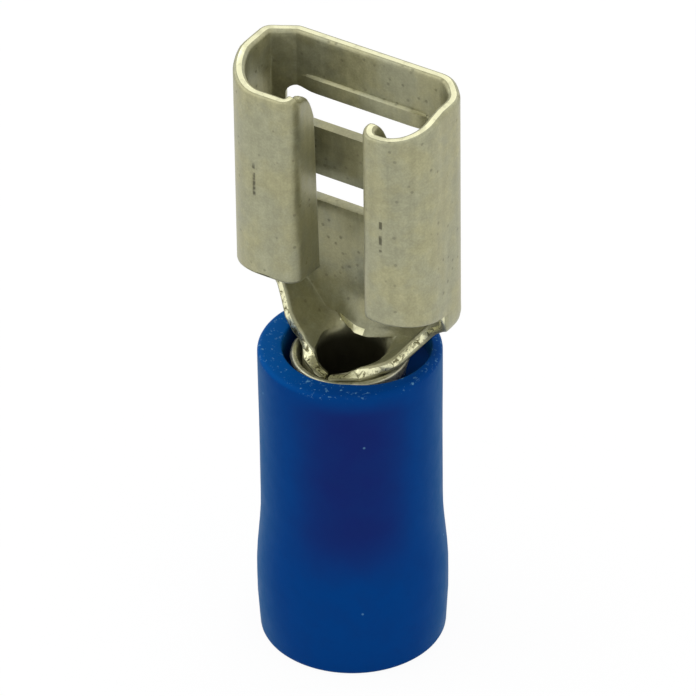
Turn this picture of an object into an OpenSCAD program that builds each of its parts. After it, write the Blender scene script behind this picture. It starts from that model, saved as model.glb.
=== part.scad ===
// Female spade terminal, 6.3 x 0.8 mm tab size, with a vinyl sleeve.
// The origin is the middle of the sleeve's lower face. +Z runs up the barrel to the tab mouth,
// the receptacle floor faces +Y and the slot between its rolled wings faces -Y.

/* [Sheet] */
// Thickness of the stamped strip
sheet = 0.4; // [0.3:0.02:0.5]

/* [Receptacle] */
// Outer width across the two wings
receptacle_w = 7.55; // [6.3:0.05:9.1]
// Outer depth from the floor to the front of the wings
receptacle_d = 3.55; // [3:0.05:4.3]
// Length of the floor above the neck, up to the mouth
receptacle_len = 8.0; // [6.7:0.1:9.6]
// How much lower the rim is at the sides than at the floor
side_drop = 0.2; // [0.1:0.05:0.4]
// Slant of the rim over the rolled wings
roll_slant = 19; // [10:1:25]
// How much shallower the left wing is than the right one
left_tuck = 0.2; // [0:0.05:0.25]
// How much higher the wings' lower edge is at the front than at the side
wing_foot_rise = 0.4; // [0.1:0.05:0.6]
// Outer radius of the rolled wings
wing_r = 1.45; // [1.2:0.05:1.6]
// Outer radius of the wing's inner fold
fold_r = 0.5; // [0.45:0.05:0.6]
// Lean of the flanges away from straight down
flange_lean = 10; // [6:1:18]
// Room for the tab between the left flange's edge and the raised strip
left_room = 1.1; // [0.8:0.05:1.3]
// The same at the right, where the flange is shorter
right_room = 1.5; // [0.8:0.05:1.6]
// Flat front of the left wing, from the roll to the fold
left_front = 0.875; // [0.3:0.025:1]
// Flat front of the right wing
right_front = 0.175; // [0.1:0.025:1]
// Share of the left flange's depth that its corner at the mouth takes
left_corner = 0.95; // [0.5:0.05:0.95]
// Height of that corner
left_corner_h = 1.4; // [0.8:0.1:1.8]
// Share of the right flange's depth that its corner takes
right_corner = 0.8; // [0.5:0.05:0.95]
// Height of that corner
right_corner_h = 1.6; // [0.8:0.1:1.8]
// Outer radius of the right back corner
back_r = 1.15; // [0.9:0.05:1.3]
// Width of the slanted facet at the left back corner
facet_w = 0.75; // [0.4:0.05:0.9]
// Slant of that facet
facet_slant = 25; // [15:1:35]

/* [Floor] */
// Side of the receptacle to the upper window
upper_side = 0.725; // [0.7:0.025:1.2]
// Height of the upper window
upper_window_h = 1.45; // [1:0.05:1.6]
// Rim to the upper window
rim_band = 1.95; // [1.8:0.05:2.4]
// Height of the bridge between the windows
bridge_h = 1.8; // [1.5:0.05:2.1]
// Side of the receptacle to the lower window
lower_side = 1.175; // [0.7:0.025:1.5]
// Height of the lower window
lower_window_h = 1.0; // [0.8:0.05:1.3]
// Corner radius of the windows
window_r = 0.35; // [0.2:0.05:0.45]
// Side of the receptacle to the end of the strip pressed in above the upper window
strip_side = 1.65; // [1.5:0.05:2]
// How far the strip is pressed inward
strip_rise = 0.27; // [0.15:0.01:0.3]
// Rim to the strip's upper edge
strip_drop = 1.35; // [1.1:0.05:1.5]

/* [Barrel and neck] */
// Bore of the wire barrel
wire_bore = 2.3; // [1.9:0.1:2.8]
// Length of the wire barrel
barrel_len = 5.9; // [5:0.1:7]
// How far below the insulating sleeve's rim the barrel ends
recess = 0.4; // [0.3:0.1:1.2]
// Length of the neck from barrel to receptacle
neck_len = 2.9; // [2.6:0.1:4]
// Butt seam's opening
seam_gap = 0.08; // [0.04:0.01:0.15]
// Width of the pressed stop
stop_w = 2.1; // [1.6:0.1:2.4]
// How far the stop reaches into the neck
stop_rise = 0.55; // [0.4:0.05:0.6]
// How much further its middle reaches than its ends
stop_bow = 0.27; // [0.1:0.01:0.3]

/* [Support sleeve] */
// Wall of the support sleeve
support_wall = 0.25; // [0.2:0.01:0.3]
// How far its belled rim stands above the barrel's end
support_lip = 0.15; // [0.05:0.05:0.25]
// Opening out of the belled rim, on the radius
bell = 0.15; // [0.1:0.05:0.2]
// Bore where the wire's insulation enters
entry_bore = 4.3; // [4:0.1:4.5]

/* [Insulating sleeve] */
// Length of the sleeve
sleeve_len = 11.1; // [9.3:0.1:13.3]
// Wall at the open mouth at the top
mouth_wall = 0.8; // [0.7:0.05:1]
// Wall at the swelling near the lower end
swell_wall = 0.75; // [0.6:0.05:1]
// Gap between the belled rim and the mouth
mouth_gap = 0.25; // [0.15:0.05:0.35]
// How far the mouth is stretched toward the right and back
mouth_stretch = 0.45; // [0:0.05:0.5]
// Length of the lip below the support sleeve
lip_len = 1.3; // [0.8:0.1:1.8]

/* [Hidden] */
$fn = 64;
eps = 0.01;

half = sheet / 2;
barrel_top = sleeve_len - recess;
barrel_r = wire_bore / 2 + half;            // to the middle of the sheet
floor_y = barrel_r;                         // the floor runs straight up from the barrel's back
floor_back = floor_y + half;
floor_face = floor_y - half;
front_y = floor_back - receptacle_d;
side_x = receptacle_w / 2 - half;
wing_foot = barrel_top + neck_len;
rim_z = wing_foot + receptacle_len;
relief_y = -0.1;                            // the neck's walls reach forward to here
sharp_r = 0.3;                              // middle radius of the two creases at the left

// --- folded section -------------------------------------------------------------------------
// A path starts at the middle of the floor and runs outward. Each step is [length, 0] for a flat
// or [middle radius, turn] for a bend toward -Y, and the left half is mirrored.

wing_mid = wing_r - half;
fold_mid = fold_r - half;
back_mid = back_r - half;
fold_turn = 90 + flange_lean;
// The flange is this long, and stops short of the raised strip by the room for the tab.
function flange_len(depth, room) = (depth - 2 * sheet - strip_rise - room + half
    - fold_mid * (1 + sin(flange_lean))) / cos(flange_lean);

right_edge = side_x - wing_mid - right_front - fold_mid - half;    // sides of the slot
left_edge = side_x - wing_mid - left_front - fold_mid - half;

facet_run = facet_w * cos(facet_slant) + sharp_r * sin(facet_slant)
    + sharp_r * (1 - sin(facet_slant));
facet_fall = facet_w * sin(facet_slant) + sharp_r * (1 - cos(facet_slant))
    + sharp_r * cos(facet_slant);
function side_flat(depth) = depth - sheet - wing_mid;
left_d = receptacle_d - left_tuck;

right_path = [
    [side_x - back_mid, 0], [back_mid, 90], [side_flat(receptacle_d) - back_mid, 0],
    [wing_mid, 90], [right_front, 0], [fold_mid, fold_turn],
    [flange_len(receptacle_d, right_room), 0]
];
left_path = [
    [side_x - facet_run, 0], [sharp_r, facet_slant], [facet_w, 0], [sharp_r, 90 - facet_slant],
    [side_flat(left_d) - facet_fall, 0],
    [wing_mid, 90], [left_front, 0], [fold_mid, fold_turn],
    [flange_len(left_d, left_room), 0]
];

function step_len(s) = s[1] == 0 ? s[0] : s[0] * s[1] * PI / 180;
function heading(a) = [cos(a), -sin(a)];
// End of one step from a point with a heading, d along it.
function along(s, d, p, a) = s[1] == 0
    ? [p + d * heading(a), a]
    : let (turn = d / s[0] * 180 / PI, centre = p + s[0] * [-sin(a), -cos(a)])
        [centre + s[0] * [sin(a + turn), cos(a + turn)], a + turn];
// Point at distance d along a path.
function walk(path, d, i = 0, p = [0, 0], a = 0) =
    let (l = step_len(path[i]))
    d <= l || i == len(path) - 1 ? along(path[i], d, p, a)[0]
        : let (e = along(path[i], l, p, a)) walk(path, d - l, i + 1, e[0], e[1]);

module folded(path, height, i = 0) {
    if (i < len(path)) {
        size = path[i][0];
        turn = path[i][1];
        if (turn == 0) {
            translate([0, -half, 0]) cube([size, sheet, height]);
            translate([size, 0, 0]) folded(path, height, i + 1);
        } else {
            translate([0, -size, 0]) {
                rotate([0, 0, 90 - turn]) rotate_extrude(angle = turn)
                    translate([size - half, 0]) square([sheet, height]);
                translate([size * sin(turn), size * cos(turn), 0]) rotate([0, 0, -turn])
                    folded(path, height, i + 1);
            }
        }
    }
}

// --- receptacle -----------------------------------------------------------------------------

module window(width, height, z) {
    reach = 2 * sheet;
    translate([0, floor_back + reach, z]) rotate([90, 0, 0])
        linear_extrude(height = sheet + 2 * reach) {
            square([width - 2 * window_r, height], center = true);
            square([width, height - 2 * window_r], center = true);
            for (x = [-1, 1], y = [-1, 1])
                translate([x * (width / 2 - window_r), y * (height / 2 - window_r)])
                    circle(r = window_r);
        }
}

// Height of the mouth's rim at a depth: level at the sides, slanted over the rolls.
roll_start = floor_back - receptacle_d + wing_r + 0.25;
function rim_at(y) = rim_z - side_drop - max(0, roll_start - y) * tan(roll_slant);

// Everything above the mouth's rim.
module above_mouth() {
    far = front_y - 1;
    translate([-receptacle_w, 0, 0]) rotate([90, 0, 90])
        linear_extrude(height = 2 * receptacle_w) polygon([
            [floor_back + 1, rim_z], [floor_face - 0.07, rim_z], [floor_face - sheet, rim_at(0)],
            [roll_start, rim_at(roll_start)], [far, rim_at(far)],
            [far, rim_z + 1], [floor_back + 1, rim_z + 1]
        ]);
}

// Below the wings, in front of the neck's walls, and below the flanges between them.
module below_wings() {
    rise = atan(wing_foot_rise / (relief_y - front_y));
    inside = receptacle_w - 4 * sheet;
    translate([0, relief_y, wing_foot]) rotate([-rise, 0, 0])
        translate([-receptacle_w, -2 * receptacle_d, -receptacle_len])
            cube([2 * receptacle_w, 2 * receptacle_d, receptacle_len]);
    translate([-inside / 2, relief_y - sheet, wing_foot - receptacle_len])
        cube([inside, floor_face - relief_y, receptacle_len]);
}

// Rounds the corner of a flange where the tab goes in, along a parabola. x is the cut's lower
// end, share the part of the flange's depth that it takes, and height its fall.
corner_w = 2.2 * sheet;
module flange_corner(x, depth, room, share, height) {
    edge_y = floor_face - strip_rise - room;
    reach = share * (edge_y - (floor_back - depth + sheet));
    start_y = edge_y - reach;
    curve = [for (i = [0 : 8]) let (u = i / 8)
        [start_y + reach * u, rim_at(start_y) - 0.02 - height * u * u]];
    beyond = edge_y + half;
    translate([x, 0, 0]) rotate([90, 0, 90]) linear_extrude(height = corner_w)
        polygon(concat(curve, [
            [beyond, rim_at(start_y) - height], [beyond, rim_z + 1], [start_y, rim_z + 1]
        ]));
}

// Plan of the strip, pressed in by a depth, with sloping ends.
module strip_plan(back, depth, width) {
    slope = 0.9 * sheet;
    polygon([
        [-width / 2 - slope, back], [-width / 2, back - depth],
        [width / 2, back - depth], [width / 2 + slope, back]
    ]);
}

module receptacle() {
    foot = wing_foot - sheet;
    height = rim_z - foot;
    strip_w = receptacle_w - 2 * strip_side;
    strip_h = rim_band - strip_drop;
    strip_z = rim_z - rim_band;
    upper_z = rim_z - rim_band - upper_window_h / 2;
    lower_z = upper_z - upper_window_h / 2 - bridge_h - lower_window_h / 2;
    difference() {
        union() {
            translate([0, floor_y, foot]) {
                folded(right_path, height);
                mirror([1, 0, 0]) folded(left_path, height);
            }
            translate([0, 0, strip_z]) linear_extrude(height = strip_h)
                strip_plan(floor_face + eps, strip_rise + eps, strip_w);
        }
        above_mouth();
        below_wings();
        flange_corner(eps - left_edge - corner_w, left_d, left_room, left_corner, left_corner_h);
        flange_corner(right_edge - eps, receptacle_d, right_room, right_corner, right_corner_h);
        window(receptacle_w - 2 * upper_side, upper_window_h, upper_z);
        window(receptacle_w - 2 * lower_side, lower_window_h, lower_z);
        // The hollow behind the strip, open to the window below it.
        translate([0, 0, strip_z - eps]) linear_extrude(height = strip_h - half / 2)
            strip_plan(floor_back + eps, strip_rise + eps, strip_w - half);
    }
}

// --- neck -----------------------------------------------------------------------------------
// The sheet's middle, blended from the barrel's ring into the receptacle's trough.

neck_sheet = 0.9 * sheet;                   // sunk into the barrel and the receptacle at its ends
sunk = 0.3;
flare_start = barrel_top - 0.12;
neck_low = flare_start - sunk;
neck_high = wing_foot - 0.1;
steps = 14;                                 // along each half of the section
levels = 16;

function smooth(x) = let (c = min(1, max(0, x))) c * c * (3 - 2 * c);
function blend(a, b, k) = a + (b - a) * k;

left_waist = 0.55;                          // narrowing of the trough where it meets the ring
right_waist = 0.57;
facet_waist = 0.3;                          // and of the left's facet, beyond its crease
facet_in = 0.8;                             // height where the facet starts to fold in
facet_out = neck_len - 1.15;                // and where it starts to fold out
waist_rise = 0.28;                          // height of the narrowest place above the barrel
crease_x = side_x - facet_run;
closed_angle = 180 - (seam_gap / 2 + 0.02) / barrel_r * 180 / PI;
open_angle = 100;
open_start = -0.05;                         // from here the ring opens and flares
left_opening = 0.8;                         // height in which each side opens
right_opening = 0.75;
left_flare = 0.35;                          // growth of the ring's radius for each mm of height
right_flare = 1.15;
turn_start = 0.1;                           // heights between which the ring turns into the trough
turn_end = 1.5;
edge_start = 0.5;                           // and those of the left's edge
edge_end = 0.95;
edge_from = 0.7;                            // share of the left half where its edge begins

// Distance along each path to where its side passes relief_y.
function trough_len(path) = path == right_path
    ? side_x - back_mid + back_mid * PI / 2 + floor_y - back_mid - relief_y
    : side_x - facet_run + facet_w + sharp_r * PI / 2 + floor_y - facet_fall - relief_y;

function ramp(x) = min(1, max(0, x));
// Width of the trough beyond the left's crease, folded in above the barrel.
function facet_share(rise) =
    smooth(rise - facet_out) + facet_waist * (1 - smooth((rise - facet_in) / 0.5));

function neck_point(path, t, z) =
    let (
        flat = walk(path, t * trough_len(path)),
        rise = z - barrel_top,
        right = path == right_path,
        full_rise = right ? neck_len - 0.4 : neck_len - 1.4,
        narrow = blend(right ? right_waist : left_waist, 1, ramp((rise - waist_rise) / full_rise)),
        beyond = right ? narrow : facet_share(rise),
        trough = [
            min(flat[0], crease_x) * narrow + max(0, flat[0] - crease_x) * beyond,
            flat[1] + floor_y
        ],
        opened = ramp((rise - open_start) / (right ? right_opening : left_opening)) ^ 0.8,
        opening = blend(closed_angle, open_angle, opened),
        flare = max(0, rise - open_start) * (right ? right_flare : left_flare),
        spread = barrel_r + flare * t,
        ring = [spread * sin(opening * t), blend(barrel_r, spread, t) * cos(opening * t)],
        at_edge = right ? 0 : smooth((t - edge_from) / 0.25),
        start = blend(turn_start, edge_start, at_edge),
        end = blend(turn_end, edge_end, at_edge)
    )
    blend(ring, trough, smooth((rise - start) / (end - start)));

function section(z) = concat(
    [for (i = [steps : -1 : 1]) let (p = neck_point(left_path, i / steps, z)) [-p[0], p[1]]],
    [for (i = [0 : steps]) neck_point(right_path, i / steps, z)]
);
function unit(v) = v / norm(v);
function offset_point(points, i, d) =
    let (a = points[max(0, i - 1)], b = points[min(len(points) - 1, i + 1)], u = unit(b - a))
    points[i] + d * [-u[1], u[0]];

module neck() {
    count = 2 * steps + 1;
    heights = [for (j = [0 : levels]) blend(neck_low, neck_high, j / levels)];
    // Each level is a closed loop: out along the back of the sheet and home along its face.
    loops = [for (z = heights) let (s = section(z)) concat(
        [for (i = [0 : count - 1]) concat(offset_point(s, i, neck_sheet / 2), z)],
        [for (i = [count - 1 : -1 : 0]) concat(offset_point(s, i, -neck_sheet / 2), z)]
    )];
    n = 2 * count;
    sides = [for (j = [0 : levels - 1], i = [0 : n - 1])
        let (a = j * n + i, b = j * n + (i + 1) % n)
        each [[a, b, a + n], [b, b + n, a + n]]];
    low = [for (i = [0 : count - 2]) each
        [[i + 1, i, n - 1 - i], [i + 1, n - 1 - i, n - 2 - i]]];
    top = levels * n;
    high = [for (f = low) [f[0] + top, f[2] + top, f[1] + top]];
    polyhedron(points = [for (l = loops) each l], faces = concat(sides, low, high));
}

// Ledge pressed into the neck, bowed forward, where the tab and the wire's end stop.
stop_foot = 0.15;                           // heights above the barrel
stop_edge = 0.82;
top_fall = 25;                              // slopes of its upper and lower sides
foot_fall = 40;
dent_h = 0.2;

module stop() {
    base = barrel_top + stop_foot;
    ledge = barrel_top + stop_edge;
    face = floor_face - stop_rise;
    depth = floor_y - face;
    end = stop_w / 2;
    difference() {
        translate([0, 0, base]) linear_extrude(height = ledge + 0.3 - base)
            polygon([
                [-end, floor_y], [-end, face], [0, face - stop_bow], [end, face], [end, floor_y]
            ]);
        // Its upper side falls back to the floor, its lower side to the barrel's wall.
        translate([-stop_w, face, ledge - 0.1]) rotate([top_fall, 0, 0])
            translate([0, -1, 0]) cube([2 * stop_w, depth + 2, 1]);
        translate([-stop_w, face, base + 0.2]) rotate([-foot_fall, 0, 0])
            translate([0, -1, -2]) cube([2 * stop_w, depth + 2, 2]);
        // The dent that the punch leaves behind it.
        translate([0, 0, base + 2 * dent_h]) linear_extrude(height = dent_h) polygon([
            [-end + sheet, floor_back], [0, face + sheet], [end - sheet, floor_back]
        ]);
    }
}

module barrel() {
    low = barrel_top - barrel_len;
    difference() {
        translate([0, 0, low]) cylinder(r = barrel_r + half, h = flare_start - low);
        translate([0, 0, low - 1]) cylinder(r = wire_bore / 2, h = barrel_len + 2);
        translate([-seam_gap / 2, -2 * barrel_r, low - 1])
            cube([seam_gap, 2 * barrel_r, barrel_len + 2]);
    }
}

module terminal() {
    color([0.70, 0.69, 0.58]) {
        barrel();
        neck();
        stop();
        receptacle();
    }
}

// --- sleeves --------------------------------------------------------------------------------

grip_r = barrel_r + half;                   // the support sleeve's bore on the barrel
support_top = barrel_top + support_lip;
bell_z = support_top - 0.85;
grip_end = barrel_top - barrel_len + 0.6;
entry_top = grip_end - 1.6;
entry_r = entry_bore / 2;

module support_sleeve() {
    w = support_wall;
    color([0.72, 0.71, 0.64]) rotate_extrude() polygon([
        [entry_r, lip_len], [entry_r + w, lip_len], [entry_r + w, entry_top],
        [grip_r + w, grip_end], [grip_r + w, bell_z], [grip_r + w + bell, support_top],
        [grip_r + bell, support_top], [grip_r, bell_z], [grip_r, grip_end],
        [entry_r, entry_top]
    ]);
}

// Quarter round from angle a to b.
function round_edge(x, z, r, a, b) = [for (i = [0 : 4])
    let (t = blend(a, b, i / 4)) [x + r * cos(t), z + r * sin(t)]];

mouth_r = grip_r + support_wall + bell + mouth_gap;
top_r = mouth_r + mouth_wall;
swell_r = entry_r + support_wall + swell_wall;
foot_r = swell_r - 0.08;
waist_r = top_r - 0.02;
edge_r = 0.18;
stretch_angle = 28;
// Heights on the sleeve as shares of its length.
swell_low = 0.13 * sleeve_len;
swell_high = 0.24 * sleeve_len;
waist_low = 0.48 * sleeve_len;
waist_high = 0.69 * sleeve_len;

module insulating_sleeve() {
    w = support_wall;
    color([0.02, 0.16, 0.50]) difference() {
        rotate_extrude() polygon(concat(
            [[entry_r, 0]],
            round_edge(foot_r - edge_r, edge_r, edge_r, -90, 0),
            [[swell_r, swell_low], [swell_r, swell_high], [waist_r + 0.07, waist_low - 1.2],
                [waist_r, waist_low], [waist_r, waist_high]],
            round_edge(top_r - edge_r, sleeve_len - edge_r, edge_r, 0, 90),
            [[grip_r + w, sleeve_len], [grip_r + w, grip_end],
                [entry_r + w, entry_top], [entry_r + w, lip_len], [entry_r, lip_len]]
        ));
        // The mouth, stretched toward the right and back.
        translate([0, 0, bell_z - 0.05]) rotate([0, 0, stretch_angle])
            linear_extrude(height = sleeve_len) {
                circle(r = mouth_r);
                translate([mouth_stretch, 0]) circle(r = mouth_r);
                translate([0, -mouth_r]) square([mouth_stretch, 2 * mouth_r]);
            }
    }
}

terminal();
support_sleeve();
insulating_sleeve();
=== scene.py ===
"""Looks of an insulated female spade terminal, built round its CAD frame.

The sheet is drawn as one folded section, pulled up to the tab's mouth and down through the neck
to the barrel's foot, and then gets its thickness. The two sleeves are spun profiles.
"""

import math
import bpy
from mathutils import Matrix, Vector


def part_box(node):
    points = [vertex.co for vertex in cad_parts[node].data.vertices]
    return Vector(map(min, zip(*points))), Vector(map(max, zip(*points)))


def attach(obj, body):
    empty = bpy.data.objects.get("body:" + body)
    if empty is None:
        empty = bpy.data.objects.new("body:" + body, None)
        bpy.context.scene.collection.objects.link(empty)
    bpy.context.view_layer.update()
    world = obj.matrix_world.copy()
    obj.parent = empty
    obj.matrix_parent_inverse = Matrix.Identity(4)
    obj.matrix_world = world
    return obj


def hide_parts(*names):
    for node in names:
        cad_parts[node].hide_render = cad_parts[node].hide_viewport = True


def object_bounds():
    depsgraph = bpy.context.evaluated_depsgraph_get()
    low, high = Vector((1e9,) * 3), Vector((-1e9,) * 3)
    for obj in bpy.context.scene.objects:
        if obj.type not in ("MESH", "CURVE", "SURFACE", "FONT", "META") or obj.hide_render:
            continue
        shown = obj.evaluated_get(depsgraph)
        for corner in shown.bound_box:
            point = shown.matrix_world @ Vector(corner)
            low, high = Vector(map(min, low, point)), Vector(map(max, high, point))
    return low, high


bl_info = {
    "name": "Insulated female spade terminal",
    "version": (1, 0, 0),
    "blender": (4, 5, 0),
    "location": "3D View > Sidebar > Terminal",
    "description": "Folded receptacle, crimp barrel, support sleeve and vinyl sleeve",
    "category": "Add Mesh",
}

import bmesh
import bpy
from bpy.props import FloatProperty, FloatVectorProperty, IntProperty, PointerProperty
from mathutils import Matrix, Vector

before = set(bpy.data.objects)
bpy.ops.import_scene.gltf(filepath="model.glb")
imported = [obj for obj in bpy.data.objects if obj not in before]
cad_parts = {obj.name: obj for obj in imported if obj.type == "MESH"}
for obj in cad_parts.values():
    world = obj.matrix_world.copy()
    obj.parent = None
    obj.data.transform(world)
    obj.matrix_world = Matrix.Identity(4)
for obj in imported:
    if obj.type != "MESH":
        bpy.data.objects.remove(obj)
CAD_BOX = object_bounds()
SHEET_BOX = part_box("terminal")
SUPPORT_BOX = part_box("support_sleeve")
SLEEVE_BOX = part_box("insulating_sleeve")

MM = 0.001
NEAR = 1e-7  # two points closer than this are the same

# Heights that the two sleeves share: the support's foot, the top of the wide entry for the
# wire's insulation, and the foot of the narrow part round the barrel.
SUPPORT_FOOT = SUPPORT_BOX[0].z
ENTRY_TOP = 3.8 * MM
GRIP_FOOT = 5.4 * MM

# The sheet's materials, by slot. The cut metal slot also carries painted highlights on the
# strip's step and the stop's lip.
SHEET_LOOKS = ("plated_sheet", "cut_and_highlight_sheet", "torn_sheet")
PLATED, CUT_AND_HIGHLIGHT, TORN = range(3)


# --- sizes and colours ---


def length(name, value, description):
    return FloatProperty(
        name=name, description=description, default=value, min=0.0, precision=5, unit="LENGTH"
    )


def angle(name, value, description):
    return FloatProperty(
        name=name, description=description, default=math.radians(value), subtype="ANGLE"
    )


def colour(name, value, description):
    return FloatVectorProperty(
        name=name, description=description, default=value, size=3, min=0.0, max=1.0,
        subtype="COLOR",
    )


class SheetSettings(bpy.types.PropertyGroup):
    """Sizes and finish of the stamped and folded sheet."""

    thickness: length("Sheet", 0.4 * MM, "Thickness of the strip")
    width: length("Width", SHEET_BOX[1].x - SHEET_BOX[0].x, "Across the two wings")
    depth: length("Depth", 3.55 * MM, "From the floor's back to the right wing's front")
    left_tuck: length("Left tuck", 0.2 * MM, "How much shallower the left wing is")
    floor_back: length("Floor", 1.55 * MM, "Back of the floor from the barrel's axis")
    rim: length("Rim", SHEET_BOX[1].z, "Height of the floor's rim")
    wing_foot: length("Wing foot", 13.6 * MM, "Height of the wings' lower edge at the sides")
    foot_rise: length("Foot rise", 0.38 * MM, "How much higher that edge is at the front")
    left_rise: length("Left rise", 0.15 * MM, "How much more it rises on the left")
    wing_radius: length("Wing radius", 1.45 * MM, "Outer radius of the rolled wings")
    fold_radius: length("Fold radius", 0.5 * MM, "Outer radius of the flanges' folds")
    strip_rise: length("Strip rise", 0.27 * MM, "Room left for the strip before the flanges")
    window_side: length("Window side", 0.725 * MM, "From the upper window to the wings' outside")
    window_radius: length("Window radius", 0.35 * MM, "Corner radius of the windows")
    strip_step: length("Strip step", 0.13 * MM, "How far the strip is pressed in")
    stop_half: length("Stop half", 1.3 * MM, "Half the width of the pressed stop")
    stop_rise: length("Stop rise", 0.42 * MM, "How far the stop is pressed in")
    flange_lean: angle("Flange lean", 10.0, "Lean of the flanges away from straight down")
    left_front: length("Left front", 0.875 * MM, "Flat front of the left wing")
    right_front: length("Right front", 0.175 * MM, "Flat front of the right wing")
    barrel_top: length("Barrel top", 10.7 * MM, "Height of the wire barrel's upper end")
    barrel_foot: length("Barrel foot", SHEET_BOX[0].z, "Height of the barrel's lower end")
    barrel_bore: length("Bore", 2.3 * MM, "Bore of the wire barrel")
    edge_round: length("Edge rounding", 0.115 * MM, "Rounding of the cut edges")
    plating: colour("Plating", (0.390, 0.374, 0.218), "Tin plating on the brass strip")
    plating_cool: colour("Cool plating", (0.365, 0.362, 0.236), "Greyer patches of the plating")
    # Also the colour of the painted highlights on the strip's step and the stop's lip.
    cut_edge_and_highlight: colour("Cut edge", (0.90, 0.88, 0.58), "Bare sheared edge of the strip")
    torn_edge: colour("Torn edge", (0.16, 0.15, 0.07), "Dark places in the torn edges")


class SupportSettings(bpy.types.PropertyGroup):
    """Sizes and finish of the thin support sleeve round the barrel."""

    wall: length("Wall", 0.25 * MM, "Wall of the support sleeve")
    bell: length("Bell", 0.15 * MM, "Opening out of its upper rim")
    steps: IntProperty(name="Steps", description="Segments round the sleeve", default=96)
    # Painted light: this plating is a much lighter copy of the sheet's plating, standing in for
    # light the rim lacks in the shade of the vinyl's mouth.
    plating: colour("Plating", (0.70, 0.68, 0.50), "Tin plating on the support sleeve")


class SleeveSettings(bpy.types.PropertyGroup):
    """Sizes and finish of the vinyl sleeve."""

    mouth_radius: length("Mouth", 2.2 * MM, "Radius of the open mouth")
    mouth_stretch: length("Stretch", 0.45 * MM, "How far the mouth is stretched")
    stretch_angle: angle("Stretch angle", 28.0, "Direction of that stretch from +X")
    top_radius: length("Top radius", 3.0 * MM, "Outer radius at the top")
    edge_round: length("Edge rounding", 0.18 * MM, "Rounding of the two ends")
    steps: IntProperty(name="Steps", description="Segments round the sleeve", default=128)
    vinyl: colour("Vinyl", (0.0005, 0.047, 0.225), "Blue vinyl where nothing lies behind it")
    vinyl_dark: colour("Dark vinyl", (0.008, 0.018, 0.135), "Blue vinyl over the metal")
    # Painted light: the ring's top is coloured paler on the left, where the key lamp's light
    # falls.
    painted_ring_light: colour("Pale vinyl", (0.001, 0.10, 0.38), "Blue vinyl on the left of the ring")
    # Painted sheen: a lighter blue mixed into the vinyl's colour where it is seen at a low
    # angle, standing in for reflected light.
    painted_sheen: colour("Sheen", (0.012, 0.11, 0.28), "Vinyl seen at a low angle")
    scuff: colour("Scuffs", (0.22, 0.52, 0.72), "Rubbed places on the upper ring")


class StageSettings(bpy.types.PropertyGroup):
    """Camera, light and floor."""

    azimuth: angle("Azimuth", 33.0, "Camera's turn round the object")
    elevation: angle("Elevation", 35.0, "Camera's height above the horizon")
    roll: angle("Roll", 0.75, "Camera's roll")
    distance: length("Distance", 245.0 * MM, "Camera from its target")
    focal: FloatProperty(name="Lens", description="Focal length in mm", default=392.84)
    floor: colour("Floor", (0.86, 0.86, 0.86), "Pale floor")


# --- selecting and drawing ---


def open_piece(name, place, *looks):
    """Starts a piece from a plane drawn together into one point, which is the pen's start."""
    bpy.ops.object.select_all(action="DESELECT")
    bpy.ops.mesh.primitive_plane_add(size=MM, location=place)
    piece = bpy.context.object
    piece.name = piece.data.name = name
    for look in looks:
        piece.data.materials.append(bpy.data.materials[look])
    bpy.ops.object.transform_apply(location=True, rotation=True, scale=True)
    bpy.ops.object.mode_set(mode="EDIT")
    bpy.ops.mesh.select_mode(type="VERT")
    bpy.ops.mesh.select_all(action="SELECT")
    bpy.ops.mesh.merge(type="CENTER")
    return piece


def edit_mesh(piece):
    return bmesh.from_edit_mesh(piece.data)


def select(piece, verts=None, edges=None, faces=None):
    """Selects in edit mode what passes the one test that is given."""
    bpy.ops.mesh.select_all(action="DESELECT")
    kind = "VERT" if verts else "EDGE" if edges else "FACE"
    bpy.ops.mesh.select_mode(type=kind)
    mesh = edit_mesh(piece)
    items = mesh.verts if verts else mesh.edges if edges else mesh.faces
    test = verts or edges or faces
    for item in items:
        if test(item):
            item.select_set(True)
    mesh.select_flush_mode()
    bmesh.update_edit_mesh(piece.data)


def each_vert(piece):
    """Gives the piece's points one by one, for moving in edit mode."""
    mesh = edit_mesh(piece)
    mesh.normal_update()
    yield from mesh.verts
    bmesh.update_edit_mesh(piece.data)


def pull(x=0.0, y=0.0, z=0.0):
    bpy.ops.mesh.extrude_region_move(TRANSFORM_OT_translate={"value": (x, y, z)})


class Pen:
    """Draws one half of a folded section by extruding and spinning its last point.

    side is 1 for the half toward +X and -1 for the other. A turn bends it toward -Y.
    """

    def __init__(self, piece, start, side):
        self.piece, self.side = piece, side
        self.place, self.turned = Vector(start), 0.0
        select(piece, verts=lambda v: (v.co - self.place).length < NEAR)

    def heading(self):
        return Vector((self.side * math.cos(self.turned), -math.sin(self.turned), 0.0))

    def flat(self, *lengths):
        for size in lengths:
            step = self.heading() * size
            pull(*step)
            self.place += step

    def bend(self, radius, turn, steps):
        inward = Vector((-self.side * math.sin(self.turned), -math.cos(self.turned), 0.0))
        centre = self.place + inward * radius
        bpy.ops.mesh.spin(
            steps=steps, dupli=False, angle=self.side * turn, center=centre, axis=(0, 0, 1)
        )
        self.turned += turn
        outward = Vector((self.side * math.sin(self.turned), math.cos(self.turned), 0.0))
        self.place = centre + outward * radius


def assign(piece, test, slot):
    """Gives the faces that pass a test another of the piece's material slots."""
    select(piece, faces=test)
    piece.active_material_index = slot
    bpy.ops.object.material_slot_assign()


def face_outward():
    bpy.ops.mesh.select_all(action="SELECT")
    bpy.ops.mesh.normals_make_consistent(inside=False)


def merge_doubles():
    bpy.ops.mesh.select_all(action="SELECT")
    bpy.ops.mesh.remove_doubles(threshold=NEAR * 10)
    face_outward()


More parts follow.
